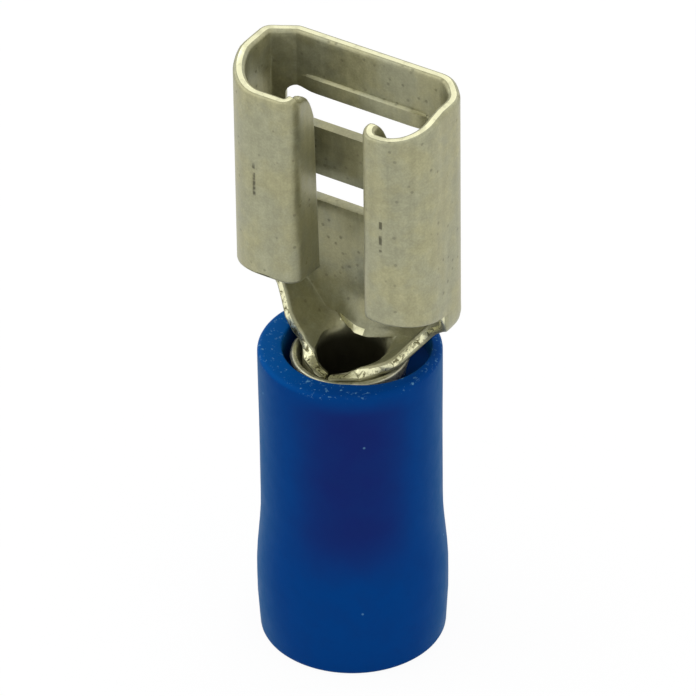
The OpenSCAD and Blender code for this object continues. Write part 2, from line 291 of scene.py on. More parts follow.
def finish_piece(piece, degrees, node):
    """Leaves edit mode, shades the piece smooth up to an angle and ties it to the frame."""
    bpy.ops.object.mode_set(mode="OBJECT")
    bpy.ops.object.shade_smooth_by_angle(angle=math.radians(degrees))
    bpy.ops.object.select_all(action="DESELECT")
    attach(piece, "root")
    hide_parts(node)


def ramp(x):
    """Holds a value between 0 and 1."""
    return min(1.0, max(0.0, x))


def smooth(x):
    """Turns a value between 0 and 1 into a soft step."""
    x = ramp(x)
    return x * x * (3.0 - 2.0 * x)


def blend(a, b, k):
    return a + (b - a) * k


# --- folded sheet ---


class Section:
    """Middle of the folded sheet, seen along the terminal, from the settings."""

    CREASE = 0.3 * MM  # middle radius of the two creases at the left back corner
    FACET = 0.75 * MM  # width of the slanted facet between them
    FACET_SLANT = math.radians(25)
    BACK_RADIUS = 0.95 * MM  # middle radius of the right back corner
    RELIEF = -0.1 * MM  # the neck's walls reach forward to here
    # The sides' rim lies lower than the floor's, and slants over the rolls: right, left.
    SIDE_DROPS = {1: 0.2 * MM, -1: 0.04 * MM}
    ROLL_SLANTS = {1: math.radians(19), -1: math.radians(27)}
    # From a flange's free edge back to the strip, and how the mouth falls at its corner: share
    # of the flange's width, height in mm, power of the curve, height of a first step in mm.
    FLANGE_ROOMS = {1: 1.5 * MM, -1: 1.1 * MM}
    FLANGE_CORNERS = {1: (0.8, 1.6, 2.0, 0.0), -1: (0.98, 1.3, 3.5, 0.2)}
    FLANGE_SPREAD = 0.3 * MM  # the left flange grows wider toward its foot
    STEP = 0.05 * MM  # height of the slope above the pressed strip

    def __init__(self, settings):
        self.s = settings
        half = settings.thickness / 2
        self.half = half
        self.floor = settings.floor_back - half
        self.side = settings.width / 2 - half
        self.wing = settings.wing_radius - half
        self.fold = settings.fold_radius - half
        slant = self.FACET_SLANT
        self.facet_run = self.FACET * math.cos(slant) + self.CREASE
        self.facet_fall = self.FACET * math.sin(slant) + self.CREASE
        self.roll_start = settings.floor_back - settings.depth + settings.wing_radius + 0.25 * MM
        self.lip = settings.barrel_top + 0.44 * MM  # lower edge of the pressed stop
        # The pressed strip and the windows, from the rim down.
        self.strip_top = settings.rim - 1.67 * MM
        self.strip_low = settings.rim - 2.05 * MM
        self.window_low = settings.rim - 3.4 * MM
        self.bridge_low = self.window_low - 1.8 * MM
        self.lower_window_low = self.bridge_low - 1.0 * MM

    def depth(self, side):
        return self.s.depth - (0.0 if side > 0 else self.s.left_tuck)

    def on_flange(self, x, y):
        """Between the wings' rolls and ahead of the floor, where only the flanges are."""
        return abs(x) < self.side - self.wing and y < self.floor - MM

    def flange_edge(self, side):
        """Place of a flange's free edge along Y."""
        return self.s.floor_back - self.s.thickness - self.s.strip_rise - self.FLANGE_ROOMS[side]

    def flange_length(self, side):
        lean = self.s.flange_lean
        front = self.s.floor_back - self.depth(side) + self.s.thickness
        straight = self.flange_edge(side) + self.half - front
        return (straight - self.fold * (1 + math.sin(lean))) / math.cos(lean)

    def rim_height(self, side, y):
        """Height of the mouth's rim: level at the sides, slanted over the rolled wings."""
        back = smooth((self.floor - y) / (0.35 * MM))
        slope = max(0.0, self.roll_start - y) * math.tan(self.ROLL_SLANTS[side])
        return self.s.rim - self.SIDE_DROPS[side] * back - slope

    def mouth_height(self, x, y):
        """The rim's height, which falls along a curve at a flange's corner."""
        s = self.s
        side = 1 if x > 0 else -1
        height = self.rim_height(side, y)
        inside = s.floor_back - self.depth(side) + s.thickness * 0.9
        edge = self.flange_edge(side)
        share, fall, power, step = self.FLANGE_CORNERS[side]
        reach = share * (edge - inside)
        start = edge - reach
        if abs(x) < self.side - self.wing + NEAR and start < y < edge + MM / 2:
            part = (y - start) / reach
            drop = fall * part ** power + step * smooth(part / 0.2)
            height = self.rim_height(side, start) - drop * MM
        return height

    def draw(self, piece, side):
        """Draws one half from the middle of the floor out to the flange's free edge."""
        s = self.s
        pen = Pen(piece, (0.0, self.floor, s.wing_foot), side)
        right = side > 0
        down = self.depth(side) - s.thickness - self.wing  # straight side, corner included
        across, corner = (self.BACK_RADIUS,) * 2 if right else (self.facet_run, self.facet_fall)
        # Closer together where the stop and the strip's ends need it.
        cuts = [0.2, 0.2, 0.2, 0.2, 0.2, 0.25, 0.25, 0.25, 0.25, 0.1, 0.13, 0.2]
        cuts = [c * MM for c in cuts]
        pen.flat(*cuts, self.side - across - sum(cuts))
        if right:
            pen.bend(self.BACK_RADIUS, math.pi / 2, 12)
        else:
            pen.bend(self.CREASE, self.FACET_SLANT, 3)
            pen.flat(*[self.FACET / 4] * 4)
            pen.bend(self.CREASE, math.pi / 2 - self.FACET_SLANT, 5)
        above = self.floor - corner - self.RELIEF
        pen.flat(*[above / 3] * 3, down - corner - above)
        pen.bend(self.wing, math.pi / 2, 18)
        front = s.right_front if right else s.left_front
        pen.flat(*[front / 2] * 2)
        pen.bend(self.fold, math.pi / 2 + s.flange_lean, 10)
        pen.flat(*[self.flange_length(side) / 9] * 9)


def shape_mouth(piece, section):
    """Draws the columns down to the mouth's rim, which lies lower over the rolls and flanges."""
    rim = section.s.rim
    for vert in each_vert(piece):
        x, y, z = vert.co
        low = rim - (4.0 if section.on_flange(x, y) else 1.3) * MM  # a flange's corner falls far
        if z > low:
            vert.co.z = blend(low, section.mouth_height(x, y), (z - low) / (rim - low))


def bisect(piece, faces, place, normal, clear=False):
    """Bisects the faces that pass a test, and may clear what lies beyond the plane."""
    select(piece, faces=faces)
    bpy.ops.mesh.bisect(plane_co=place, plane_no=normal, clear_outer=clear, threshold=NEAR)


def cut_wing_foot(piece, section, side, foot_rise):
    """Cuts a wing's lower edge, which rises toward the front."""
    s = section.s
    slant = math.atan2(foot_rise, section.RELIEF - (s.floor_back - s.depth))

    def foot(face):
        c = face.calc_center_median()
        return c.y < section.RELIEF and c.z < s.wing_foot + 1.4 * MM and side * c.x > 0

    normal = (0, -math.sin(slant), -math.cos(slant))
    bisect(piece, foot, (0, section.RELIEF, s.wing_foot), normal, clear=True)


def cut_window(piece, s, half_width, low, high):
    """Cuts a window with round corners through the floor and the corners beside it."""
    radius = s.window_radius

    def back(face):
        return face.calc_center_median().y > s.floor_back - 1.4 * MM

    for side in (-1, 1):
        for x in (half_width, half_width - radius):
            bisect(
                piece, lambda face: back(face) and side * face.calc_center_median().x > 0,
                (side * x, 0, 0), (1, 0, 0),
            )
    for z in (low, low + radius, high - radius, high):
        bisect(piece, back, (0, 0, z), (0, 0, 1))
    arcs = [
        (Vector((side * (half_width - radius), 0, z)), side, up)
        for side in (-1, 1)
        for z, up in ((low + radius, -1), (high - radius, 1))
    ]

    def in_corner(face):
        d = face.calc_center_median() - centre
        return back(face) and 0 < side * d.x < radius and 0 < up * d.z < radius

    for centre, side, up in arcs:
        for degrees in (9, 27, 45, 63, 81):
            a = math.radians(degrees)
            normal = Vector((side * math.cos(a), 0, up * math.sin(a)))
            bisect(piece, in_corner, centre + normal * radius, normal)

    def inside(face):
        c = face.calc_center_median()
        if not back(face) or not low < c.z < high or abs(c.x) > half_width:
            return False
        for centre, side, up in arcs:
            d = c - centre
            if side * d.x > 0 and up * d.z > 0:
                return math.hypot(d.x, d.z) < radius
        return True

    select(piece, faces=inside)
    bpy.ops.mesh.delete(type="FACE")


def press_strip(piece, section):
    """Presses the strip above the upper window inward: a sharp step above, long soft ends."""
    for vert in each_vert(piece):
        x, y, z = vert.co
        at_floor = y > section.floor - 0.45 * MM
        if at_floor and section.strip_low - NEAR < z < section.strip_top + NEAR:
            share = 1 - smooth((abs(x) - 1.85 * MM) / (0.75 * MM))
            vert.co.y -= section.s.strip_step * share


# Front edge of the neck's walls, right and left: height above the barrel and place along Y, mm.
WALL_EDGES = {
    1: ((0.36, -0.45), (0.6, -0.05), (0.9, 0.45), (1.15, 0.7), (1.9, 0.7), (2.9, -0.1)),
    -1: ((0.45, -0.37), (0.9, -0.3), (1.3, -0.03), (1.7, 0.2), (2.3, 0.25), (2.9, -0.1)),
}
WALL_SLANT = 0.775  # the walls' spread for each mm of height
WALL_HALF, WALL_RISE = 2.573, 1.41  # half the width between them, at this height
NECK_CORNER = 0.3 * MM
CORNER_SHARE = 0.68  # share of a half's columns from the floor's middle to the corner


def wall_edge(side, rise):
    """Place of a wall's front edge along Y, at a height above the barrel in mm."""
    points = WALL_EDGES[side]
    for (low, a), (high, b) in zip(points, points[1:]):
        if rise < high:
            return blend(a, b, ramp((rise - low) / (high - low))) * MM
    return points[-1][1] * MM


def trough_place(section, side, share, wide, edge):
    """A point of a flat-sided trough: out along the floor, round the corner, forward."""
    floor = section.floor
    r = NECK_CORNER
    floor_run, wall_run = wide - r, floor - r - edge
    arc = r * math.pi / 4
    if share < CORNER_SHARE:
        run = (floor_run + arc) * share / CORNER_SHARE
    else:
        beyond = (share - CORNER_SHARE) / (1 - CORNER_SHARE)
        run = floor_run + arc + (wall_run + arc) * beyond
    if run < floor_run:
        return Vector((side * run, floor))
    if run < floor_run + 2 * arc:
        turn = (run - floor_run) / r
        return Vector((
            side * (floor_run + r * math.sin(turn)), floor - r + r * math.cos(turn)
        ))
    return Vector((side * wide, floor - r - (run - floor_run - 2 * arc)))


def neck_place(section, half, t, z):
    """Middle of the sheet at a share t of a half's width and a height z below the wings.

    A ring round the barrel opens into a trough with flat sides, which goes over into the wings.
    """
    s = section.s
    barrel = s.barrel_bore / 2 + section.half
    rise = (z - s.barrel_top) / MM
    neck = (s.wing_foot - s.barrel_top) / MM
    wide = min((WALL_HALF + WALL_SLANT * (rise - WALL_RISE)) * MM, section.side)
    trough = trough_place(section, half.side, t, wide, wall_edge(half.side, rise))
    start = 1.5 if half.side > 0 else 0.75  # the trough goes over into the wings from here
    trough = trough.lerp(half.at(t), smooth((rise - neck + start) / (start - 0.05)))
    closed = math.pi - 0.06 * MM / barrel  # leaves the butt seam open
    opened = math.radians(104)  # the ring's half turn just above the barrel
    turned = blend(closed, opened, ramp((rise + 0.03) / 0.5) ** 0.8)
    ring = Vector((
        half.side * barrel * math.sin(turned * t), barrel * math.cos(turned * t)
    ))
    return ring.lerp(trough, smooth(rise / 0.5))


def press_stop(piece, section):
    """Presses a wedge out of the neck's inner face. It ends in a lip below and fades upward."""
    s, lip = section.s, section.lip
    inner = section.floor - section.half
    for vert in each_vert(piece):
        x, y, z = vert.co
        if y < 0 or not lip - 0.4 * MM < z < lip + 1.3 * MM or abs(x) > s.stop_half:
            continue
        across = 1 - abs(x - 0.05 * MM) / s.stop_half
        if vert.normal.y < 0:
            upper = s.stop_rise * (1 - smooth((z - lip) / (1.15 * MM)))
            lip_part = 0.16 * MM * (1 - ramp((z - lip) / (0.24 * MM)))
            under = ramp((z - lip + 0.2 * MM) / (0.2 * MM))
            vert.co.y = min(y, inner - (upper + lip_part) * min(1.0, 1.25 * across) * under)
        else:
            vert.co.y = y - 0.2 * MM * across * smooth(1 - abs(z - lip) / (0.4 * MM))


def spread_flange(piece, section):
    """Widens the left flange toward its foot."""
    s = section.s
    inside = s.floor_back - section.depth(-1) + s.thickness
    edge = section.flange_edge(-1)
    for vert in each_vert(piece):
        x, y, z = vert.co
        if x < 0 and section.on_flange(x, y) and z > s.wing_foot - NEAR:
            share = ramp((y - inside) / (edge - inside))
            down = ramp((s.rim - z) / (s.rim - s.wing_foot))
            vert.co.y += section.FLANGE_SPREAD * share * down


class Half:
    """Bottom edge of one half of the receptacle, as points and their shares of its width."""

    def __init__(self, side, places):
        self.side, self.places = side, places
        run = [0.0]
        for a, b in zip(places, places[1:]):
            run.append(run[-1] + (b - a).length)
        self.shares = [r / run[-1] for r in run]

    def at(self, t):
        """The point at a share t of the width."""
        last = len(self.shares) - 1
        i = next((i for i in range(1, last) if t <= self.shares[i]), last)
        a, b = self.shares[i - 1], self.shares[i]
        return self.places[i - 1].lerp(self.places[i], (t - a) / (b - a))


def bottom_halves(piece, section):
    """The two halves of the receptacle's lower edge, from the floor's middle to the relief."""
    s = section.s
    verts = [
        v for v in edit_mesh(piece).verts
        if abs(v.co.z - s.wing_foot) < NEAR and v.co.y > section.RELIEF - NEAR
    ]
    halves = []
    for side in (-1, 1):
        # Out along the floor, then forward along the side.
        mine = [v for v in verts if side * v.co.x > -NEAR]
        mine.sort(key=lambda v: (side * v.co.x - v.co.y))
        halves.append(Half(side, [Vector((v.co.x, v.co.y)) for v in mine]))
    return halves


def pull_neck(piece, section):
    """Pulls the receptacle's lower edge down through the neck to the barrel's foot."""
    s = section.s
    halves = bottom_halves(piece, section)
    columns = [(h, t, p) for h in halves for t, p in zip(h.shares, h.places)]
    top = s.wing_foot
    # Closer together where the walls curve, and few down the barrel.
    heights = [top - 0.2 * MM * i for i in range(1, 10)]
    heights += [heights[-1] - 0.06 * MM * i for i in range(1, 15)]
    heights += [s.barrel_top + d * MM for d in (0.15, 0.06, -0.04, -0.14, -0.3)]
    heights = sorted({round(h, 8) for h in heights}, reverse=True)
    heights += [s.barrel_top - 2 * MM, s.barrel_foot + 1.5 * MM, s.barrel_foot]
    select(
        piece,
        edges=lambda e: all(
            abs(v.co.z - top) < NEAR and v.co.y > section.RELIEF - NEAR for v in e.verts
        ),
    )
    for above, z in zip([top] + heights, heights):
        pull(z=z - above)
        mesh = edit_mesh(piece)
        fresh = [v for v in mesh.verts if v.select]
        # The new point of each column, found before any of them moves.
        below = [Vector((*place, z)) for _, _, place in columns]
        found = [min(fresh, key=lambda v: (v.co - old).length) for old in below]
        for i, (half, t, _) in enumerate(columns):
            place = neck_place(section, half, t, max(z, s.barrel_top - 0.3 * MM))
            found[i].co = (*place, z)
            columns[i] = (half, t, place)
        bmesh.update_edit_mesh(piece.data)


def thicken(piece, thickness):
    """Gives the sheet its thickness on both sides, and its edges the cut metal."""
    bpy.ops.object.mode_set(mode="OBJECT")
    sheet = piece.modifiers.new("Thickness", "SOLIDIFY")
    sheet.thickness, sheet.offset, sheet.use_even_offset = thickness, 0.0, True
    sheet.material_offset_rim = CUT_AND_HIGHLIGHT
    bpy.ops.object.modifier_apply(modifier=sheet.name)
    bpy.ops.object.mode_set(mode="EDIT")
    face_outward()


def middle(item):
    """Middle of an edge or a face."""
    return sum((v.co for v in item.verts), Vector()) / len(item.verts)


def in_windows(section, c, slack):
    """Whether a place lies at one of the two windows' cut faces."""
    upper = section.window_low - slack < c.z < section.strip_low + 0.1 * MM
    lower = section.lower_window_low - 0.1 * MM < c.z < section.bridge_low + slack
    return upper or lower


def round_edges(piece, section):
    """Rounds the cut edges, least in the windows and on the strip's step."""
    s = section.s
    neck_low, neck_top = 6 * MM, s.wing_foot + 0.1 * MM

    def is_cut(edge, low, high, windows=False):
        faces = edge.link_faces
        if len(faces) != 2 or faces[0].material_index == faces[1].material_index:
            return False
        c = middle(edge)
        at_window = c.y > s.floor_back - 1.5 * MM and in_windows(section, c, NEAR)
        return low < c.z < high and at_window == windows

    def is_step(edge):
        if len(edge.link_faces) != 2 or edge.calc_face_angle(0.0) < math.radians(40):
            return False
        c = middle(edge)
        along = abs((edge.verts[0].co - edge.verts[1].co).x) > 0.05 * MM
        ahead = c.y < s.floor_back - 1.1 * s.thickness
        return along and ahead and section.strip_low < c.z < s.rim - MM

    for test, width, segments, slot, clamp in (
        (lambda e: is_cut(e, 0, s.rim, windows=True), 0.03 * MM, 2, PLATED, True),
        (lambda e: is_cut(e, neck_low, neck_top), 0.9 * s.edge_round, 3, PLATED, False),
        (lambda e: is_cut(e, neck_top, 2 * s.rim), s.edge_round, 3, PLATED, False),
        # The step's bevel gets the bright cut metal as a painted highlight line.
        (is_step, 0.02 * MM, 2, CUT_AND_HIGHLIGHT, True),
    ):
        select(piece, edges=test)
        bpy.ops.mesh.bevel(offset=width, segments=segments, clamp_overlap=clamp, material=slot)


def colour_edges(piece, section):
    """Bright bare-metal colour as painted highlights on the step and the stop's lip, plating in
    the windows, torn metal below.
    """
    s = section.s
    step = section.strip_top + section.STEP / 2

    def on_step(face):
        c = middle(face)
        ahead = 0.8 * MM < c.y < s.floor_back - s.thickness - 0.01 * MM
        near = abs(c.z - step) < 0.05 * MM and abs(c.x) < 2.35 * MM
        return ahead and near and face.normal.z > 0.4

    def in_window(face):
        c = middle(face)
        at_window = c.y > 0.9 * MM and in_windows(section, c, 0.1 * MM)
        return face.material_index == CUT_AND_HIGHLIGHT and at_window and not on_step(face)

    def is_torn(face):
        return face.material_index == CUT_AND_HIGHLIGHT and middle(face).z < s.barrel_top + 2.2 * MM

    def on_lip(face):
        c = middle(face)
        ahead = 0.2 * MM < c.y < s.floor_back - 1.05 * s.thickness and face.normal.y < -0.1
        left = -0.75 * s.stop_half < c.x < 0.12 * MM
        return ahead and left and section.lip - NEAR < c.z < section.lip + 0.2 * MM

    # on_step and on_lip give pressed, plated faces the bright cut metal as a painted highlight.
    for test, slot in ((on_step, CUT_AND_HIGHLIGHT), (in_window, PLATED), (is_torn, TORN), (on_lip, CUT_AND_HIGHLIGHT)):
        assign(piece, test, slot)


def make_sheet(settings):
    s = settings
    section = Section(s)
    start = (0, section.floor, s.wing_foot)
    piece = open_piece("terminal_sheet", start, *SHEET_LOOKS)
    section.draw(piece, 1)
    section.draw(piece, -1)
    heights = [0.0, 0.5, 1.0, 1.4, 1.8, 2.1, 2.45, 2.8, 3.2, 3.6, 4.0, 4.35, 4.6]
    heights = [s.wing_foot + h * MM for h in heights]
    low, top = section.strip_low, section.strip_top
    heights += [section.window_low + 0.4 * MM, section.window_low + 0.85 * MM, low]
    heights += [blend(low, top, 0.5), top, top + section.STEP]
    heights += [s.rim - d * MM for d in (1.2, 0.9, 0.6, 0.3, 0.0)]
    bpy.ops.mesh.select_all(action="SELECT")
    for low, high in zip(heights, heights[1:]):
        pull(z=high - low)
    shape_mouth(piece, section)
    cut_wing_foot(piece, section, 1, s.foot_rise)
    cut_wing_foot(piece, section, -1, s.foot_rise + s.left_rise)
    upper_half = s.width / 2 - s.window_side
    lower_half = section.side - section.facet_run  # its sides follow a column
    cut_window(piece, s, upper_half, section.window_low, section.strip_low)
    cut_window(piece, s, lower_half, section.lower_window_low, section.bridge_low)
    press_strip(piece, section)
    pull_neck(piece, section)
    spread_flange(piece, section)
    merge_doubles()
    thicken(piece, s.thickness)
    press_stop(piece, section)
    round_edges(piece, section)
    colour_edges(piece, section)
    finish_piece(piece, 38, "terminal")


# --- sleeves ---


def spin_profile(name, look, points, steps):
    """Draws a closed profile point by point and spins it round the terminal's axis."""
    first = Vector((points[0][0], 0.0, points[0][1]))
    piece = open_piece(name, first, look)
    place = first
    for x, z in points[1:]:
        here = Vector((x, 0.0, z))
        pull(*(here - place))
        place = here
    ends = (first, place)
    select(piece, verts=lambda v: any((v.co - e).length < NEAR for e in ends))
    bpy.ops.mesh.edge_face_add()
    bpy.ops.mesh.select_all(action="SELECT")
    bpy.ops.mesh.spin(
        steps=steps, dupli=False, angle=math.tau, center=(0, 0, 0), axis=(0, 0, 1)
    )
    merge_doubles()
    return piece


def quarter(x, z, r, start, count=5):
    """Points of a quarter round about (x, z), from an angle in degrees."""
    turns = [math.radians(start + 90 * i / count) for i in range(count + 1)]
    return [(x + r * math.cos(a), z + r * math.sin(a)) for a in turns]


def make_support(settings):
    s = settings
    high = SUPPORT_BOX[1]
    entry = high.x - s.wall
    grip = 1.55 * MM
    flare = grip + 0.04 * MM
    bell_foot = high.z - 0.85 * MM
    bell_mid = bell_foot + 0.35 * MM
    r = s.wall / 2
    points = [
        (entry, SUPPORT_FOOT), (entry + s.wall, SUPPORT_FOOT), (entry + s.wall, ENTRY_TOP),
        (grip + s.wall, GRIP_FOOT), (grip + s.wall, bell_foot), (flare + s.wall, bell_mid),
    ]
    for a in range(0, 181, 30):
        turn = math.radians(a)
        points.append((grip + s.bell + r + r * math.cos(turn), high.z - r + r * math.sin(turn)))
    points += [(flare, bell_mid), (grip, bell_foot), (grip, GRIP_FOOT), (entry, ENTRY_TOP)]
    piece = spin_profile("support_ring", "plated_support_painted_lighter", points, s.steps)
    finish_piece(piece, 40, "support_sleeve")


def make_sleeve(settings):
    s = settings
    high = SLEEVE_BOX[1].z
    grip, entry, bore = 1.8 * MM, 2.4 * MM, 2.15 * MM
    # Outer radii from the lower end up; r and m round the ends' edges.
    swell, top = SLEEVE_BOX[1].x, s.top_radius
    foot, waist = swell - 0.08 * MM, top - 0.02 * MM
    r, m = s.edge_round, 0.07 * MM
    lip = 0.08 * MM
    points = [(bore, lip), (bore + lip, 0.0)]
    points += quarter(foot - r, r, r, -90)
    shares = [0.09, 0.13, 0.19, 0.24, 0.29, 0.34, 0.38, 0.43, 0.48, 0.55, 0.62, 0.69, 0.76]
    for share in shares + [0.83, 0.9, 0.95]:
        if share < 0.2:
            out = blend(foot, swell, smooth(share / 0.16))
        elif share < 0.5:
            out = blend(swell, waist, smooth((share - 0.22) / 0.24))
        else:
            out = blend(waist, top, smooth((share - 0.69) / 0.27))
        points.append((out, share * high))
    points += quarter(top - r, high - r, r, 0)
    mouth, floor = s.mouth_radius, high - 1.15 * MM  # the open mouth and its bottom
    points += quarter(mouth + m, high - m, m, 90, 4)
    points += [(mouth, high - 0.4 * MM), (mouth, floor + 0.3 * MM), (mouth - 0.1 * MM, floor)]
    points += [(grip, floor), (grip, GRIP_FOOT), (entry, ENTRY_TOP)]
    points += [(entry, SUPPORT_FOOT), (bore, SUPPORT_FOOT)]
    piece = spin_profile("vinyl_sleeve", "sleeve_vinyl", points, s.steps)
    way = Vector((math.cos(s.stretch_angle), math.sin(s.stretch_angle), 0))
    select(
        piece,
        verts=lambda v: v.co.z > floor + 0.1 * MM
        and math.hypot(v.co.x, v.co.y) < mouth + 0.1 * MM
        and v.co.dot(way) > 0,
    )
    bpy.ops.transform.translate(value=way * s.mouth_stretch)
    finish_piece(piece, 50, "insulating_sleeve")


# --- materials ---


# Rows of pits down the wings' fronts: place across, lower and upper height in mm.
WING_PITS = ((-2.38, 16.8, 18.4), (2.5, 16.3, 18.4))


class Graph:
    """Short names for adding and linking nodes in one tree."""

    def __init__(self, tree):
        self.tree = tree
        tree.nodes.clear()

    def add(self, kind, **values):
        node = self.tree.nodes.new(kind)
        for key, value in values.items():
            setattr(node, key, value)
        return node

    def put(self, socket, value):
        """Feeds a socket from another one, or sets it."""
        if isinstance(value, bpy.types.NodeSocket):
            self.tree.links.new(value, socket)
        else:
            socket.default_value = value

    def fill(self, sockets, values):
        for socket, value in zip(sockets, values):
            self.put(socket, value)

    def math(self, operation, *values):
        node = self.add("ShaderNodeMath", operation=operation)
        self.fill(node.inputs, values)
        return node.outputs[0]

    def times(self, first, *rest):
        for value in rest:
            first = self.math("MULTIPLY", first, value)
        return first

    def largest(self, first, *rest):
        for value in rest:
            first = self.math("MAXIMUM", first, value)
        return first

    def mix(self, factor, a, b):
        node = self.add("ShaderNodeMix", data_type="RGBA")
        self.fill((node.inputs[0], node.inputs[6], node.inputs[7]), (factor, a, b))
        return node.outputs[2]

    def ramp(self, value, low, high, to_low=0.0, to_high=1.0):
        node = self.add("ShaderNodeMapRange", interpolation_type="SMOOTHSTEP")
        self.fill(node.inputs, (value, low, high, to_low, to_high))
        return node.outputs[0]

    def split(self, place):
        node = self.add("ShaderNodeSeparateXYZ")
        self.put(node.inputs[0], place)
        return node.outputs

    def noise(self, place, scale, detail=3.0, roughness=0.5, stretch=None, distortion=0.0):
        if stretch:
            mapping = self.add("ShaderNodeMapping")
            self.put(mapping.inputs["Vector"], place)
            mapping.inputs["Scale"].default_value = stretch
            place = mapping.outputs[0]
        node = self.add("ShaderNodeTexNoise")
        names = ("Vector", "Scale", "Detail", "Roughness", "Distortion")
        sockets = [node.inputs[name] for name in names]
        self.fill(sockets, (place, scale, detail, roughness, distortion))
        return node.outputs[0]

    def dots(self, place, scale, distance, chosen):
        """Round dots in some of a pattern's cells, as two ranges of a ramp."""
        node = self.add("ShaderNodeTexVoronoi")
        self.put(node.inputs["Vector"], place)
        node.inputs["Scale"].default_value = scale
        return self.times(
            self.ramp(node.outputs["Distance"], *distance),
            self.ramp(node.outputs["Color"], *chosen),
        )


def new_group(name, inputs, outputs):
    """A shader node group with named sockets, given as name, kind and an input's default."""
    tree = bpy.data.node_groups.new(name, "ShaderNodeTree")

    def socket(label, kind, way):
        return tree.interface.new_socket(label, in_out=way, socket_type="NodeSocket" + kind)

    for label, kind, *default in inputs:
        made = socket(label, kind, "INPUT")
        if default:
            made.default_value = default[0]
    for label, kind in outputs:
        socket(label, kind, "OUTPUT")
    graph = Graph(tree)
    return graph, graph.add("NodeGroupInput").outputs, graph.add("NodeGroupOutput").inputs


def rgba(value):
    return (*value, 1.0)


def make_plating_group():
    """Tin plating: broad cloudy patches, pits, specks and fine drawing lines."""
    graph, given, out = new_group(
        "satin_plating",
        (
            ("Place", "Vector"),
            ("Color", "Color", (0.4, 0.38, 0.25, 1)),
            ("Cool Color", "Color", (0.36, 0.37, 0.27, 1)),
            ("Roughness", "Float", 0.34),
            ("Pits", "Float", 0.6),
        ),
        (("Color", "Color"), ("Roughness", "Float"), ("Height", "Float")),
    )
    place = given["Place"]
    clouds = graph.noise(place, 700.0, 4.0, 0.6)
    patches = graph.noise(place, 2600.0, 3.0, 0.55)
    grain = graph.noise(place, 14000.0, 2.0, 0.6)
    lines = graph.noise(place, 3500.0, 3.0, 0.6, stretch=(1.0, 1.0, 0.06))
    pit = graph.dots(place, 3300.0, (0.26, 0.12), (0.62, 0.66))
    pit = graph.times(pit, given["Pits"])
    tone = graph.mix(graph.ramp(clouds, 0.38, 0.62), given["Color"], given["Cool Color"])
    light = graph.times(
        graph.ramp(patches, 0.3, 0.75, 0.90, 1.10),
        graph.ramp(grain, 0.35, 0.7, 0.93, 1.07),
        graph.ramp(lines, 0.3, 0.7, 0.95, 1.05),
        graph.math("SUBTRACT", 1.0, graph.times(pit, 0.55)),
    )
    scaled = graph.add("ShaderNodeVectorMath", operation="SCALE")
    graph.put(scaled.inputs[0], tone)
    graph.put(scaled.inputs["Scale"], light)
    graph.put(out["Color"], scaled.outputs[0])
    rough = graph.math("ADD", given["Roughness"], graph.ramp(patches, 0.3, 0.7, -0.05, 0.06))
    graph.put(out["Roughness"], graph.math("ADD", rough, graph.times(pit, 0.2)))
    height = graph.times(patches, 0.5)
    height = graph.math("ADD", height, graph.times(lines, 0.35))
    height = graph.math("ADD", height, graph.times(grain, 0.12))
    graph.put(out["Height"], graph.math("SUBTRACT", height, graph.times(pit, 0.8)))


def material(name):
    """A new material's graph, its shader's inputs and the place in the piece's own frame."""
    made = bpy.data.materials.new(name)
    made.use_nodes = True
    graph = Graph(made.node_tree)
    output = graph.add("ShaderNodeOutputMaterial")
    shader = graph.add("ShaderNodeBsdfPrincipled")
    graph.put(output.inputs["Surface"], shader.outputs[0])
    return graph, shader.inputs, graph.add("ShaderNodeTexCoord").outputs["Object"]


def bump(graph, height, strength, distance):
    node = graph.add("ShaderNodeBump")
    graph.put(node.inputs["Height"], height)
    node.inputs["Strength"].default_value = strength
    node.inputs["Distance"].default_value = distance
    return node.outputs[0]


def plated(name, base, cool, roughness, pits):
    graph, shader, place = material(name)
    group = graph.add("ShaderNodeGroup", node_tree=bpy.data.node_groups["satin_plating"])
    graph.fill(group.inputs, (place, rgba(base), rgba(cool), roughness, pits))
    tone, height = group.outputs["Color"], group.outputs["Height"]
    if name == "plated_sheet":
        # Real pits and the painted shade inside the barrel's bore both mix the plating toward
        # this near-black.
        marks = pits_and_bore_shade(graph, place)
        tone = graph.mix(marks, tone, rgba((0.03, 0.027, 0.012)))
        height = graph.math("SUBTRACT", height, marks)
    graph.put(shader["Base Color"], tone)
    graph.put(shader["Roughness"], group.outputs["Roughness"])
    graph.put(shader["Normal"], bump(graph, height, 0.35, 0.00003))
    shader["Metallic"].default_value = 0.65


def pits_and_bore_shade(graph, place):
    """Rows of pits down the wings' fronts, and painted shade that darkens the inside of the
    barrel's bore.
    """
    x, y, z = graph.split(place)
    broken = graph.noise(place, 2600.0, 2.0, 0.5, stretch=(0.3, 0.3, 1.0))
    sway = graph.noise(place, 900.0, 2.0, 0.5)
    rows = []
    for middle, low, high in WING_PITS:
        off = graph.math("MULTIPLY_ADD", sway, 0.1 * MM, (-middle - 0.05) * MM)
        off = graph.math("ABSOLUTE", graph.math("ADD", x, off))
        rows.append(graph.times(
            graph.ramp(off, 0.075 * MM, 0.03 * MM),
            graph.ramp(z, low * MM, (low + 0.3) * MM),
            graph.ramp(z, high * MM, (high - 0.3) * MM),
        ))
    in_front = graph.ramp(y, -1.4 * MM, -1.7 * MM)
    marks = graph.times(graph.largest(*rows), graph.ramp(broken, 0.46, 0.56), in_front, 0.75)
    # Painted shade: the barrel's bore is darkened below its upper end, where shade falls inside
    # it.
    from_axis = graph.math("ADD", graph.times(x, x), graph.times(y, y))  # squared
    inside = graph.ramp(from_axis, (1.38 * MM) ** 2, (1.25 * MM) ** 2)
    painted_bore_shade = graph.times(inside, graph.ramp(z, 11.1 * MM, 10.5 * MM), 0.9)
    return graph.largest(marks, painted_bore_shade)


